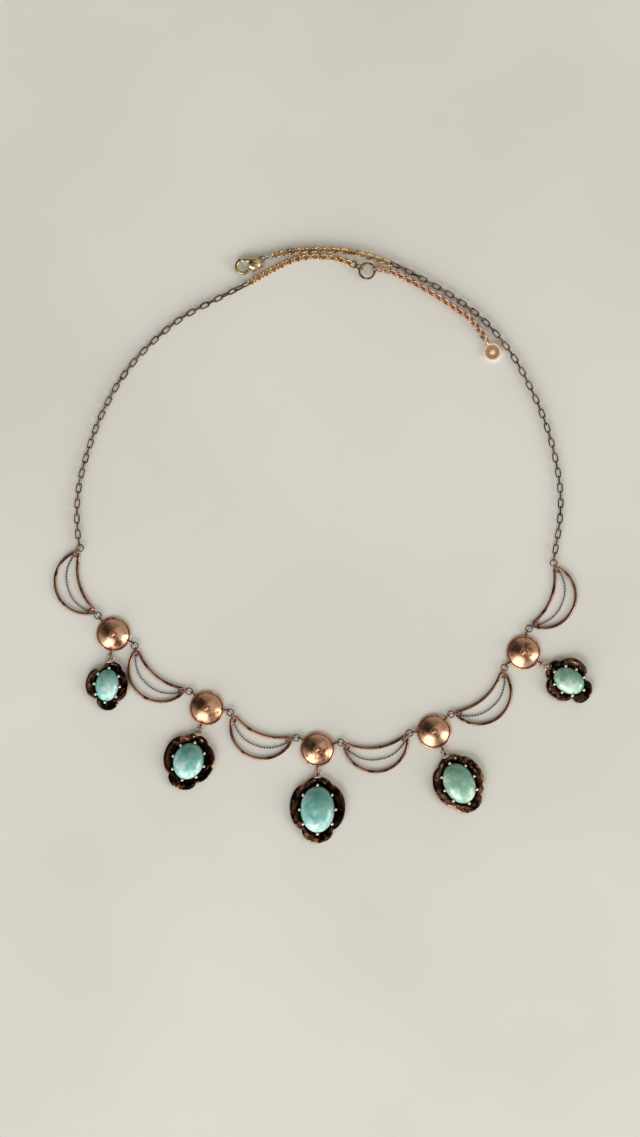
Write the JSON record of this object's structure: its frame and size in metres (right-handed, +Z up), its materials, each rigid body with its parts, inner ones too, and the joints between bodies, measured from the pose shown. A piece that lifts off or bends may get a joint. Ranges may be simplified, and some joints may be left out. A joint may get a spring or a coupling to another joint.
{
  "type": "festoon necklace",
  "caption": "Festoon necklace of domed discs, crescent frames and petal drops with oval cabochons, on fine link chains with a lobster clasp, lying open on a flat surface.",
  "frame": {"origin": "centre of the lying necklace's outline, on the surface that it rests on", "axes": "+Z up from the surface, +Y from the drops towards the clasp, +X to the right seen from above"},
  "size_m": [0.1508, 0.1669, 0.0046],
  "materials": {
    "rose_gold": "polished",
    "dark_bronze": "polished",
    "dark_copper": "satin",
    "yellow_gold": "polished",
    "pale_metal": "satin",
    "turquoise": "gloss"
  },
  "bodies": {
    "necklace": {"stone_1": "turquoise", "stone_2": "turquoise", "stone_3": "turquoise", "stone_4": "turquoise", "stone_5": "turquoise", "setting_1": "dark_bronze", "setting_2": "dark_bronze", "setting_3": "dark_bronze", "setting_4": "dark_bronze", "setting_5": "dark_bronze", "disc_1": "rose_gold", "disc_2": "rose_gold", "disc_3": "rose_gold", "disc_4": "rose_gold", "disc_5": "rose_gold", "festoon_1": "rose_gold", "festoon_2": "rose_gold", "festoon_3": "rose_gold", "festoon_4": "rose_gold", "festoon_5": "rose_gold", "festoon_6": "rose_gold", "swag_1": "dark_bronze", "swag_2": "dark_bronze", "swag_3": "dark_bronze", "swag_4": "dark_bronze", "swag_5": "dark_bronze", "swag_6": "dark_bronze", "frame_ring_1": "dark_copper", "frame_ring_2": "dark_copper", "frame_ring_3": "dark_copper", "frame_ring_4": "dark_copper", "frame_ring_5": "dark_copper", "frame_ring_6": "dark_copper", "frame_ring_7": "dark_copper", "frame_ring_8": "dark_copper", "frame_ring_9": "dark_copper", "frame_ring_10": "dark_copper", "frame_ring_11": "dark_copper", "frame_ring_12": "dark_copper", "drop_ring_1": "rose_gold", "drop_ring_2": "rose_gold", "drop_ring_3": "rose_gold", "drop_ring_4": "rose_gold", "drop_ring_5": "rose_gold", "trace_left": "dark_copper", "trace_right": "dark_copper", "belcher_left": "yellow_gold", "belcher_right": "yellow_gold", "extender": "rose_gold", "small_ring_1": "rose_gold", "small_ring_2": "rose_gold", "middle_ring": "rose_gold", "tag_ring": "rose_gold", "end_tag": "rose_gold", "clasp_ring_1": "pale_metal", "clasp_ring_2": "pale_metal", "clasp_body": "yellow_gold", "clasp_pin": "yellow_gold"},
    "lever": {"clasp_lever": "yellow_gold"}
  },
  "joints": [
    {"name": "clasp_lever_hinge", "type": "hinge", "parent": "necklace", "child": "lever", "pos_m": [-0.01878, 0.0781, 0.001], "axis": [0, 0, -1], "range_deg": [0, 35], "stiffness_Nm_per_rad": 0.0005, "springref_deg": -17.19}
  ]
}
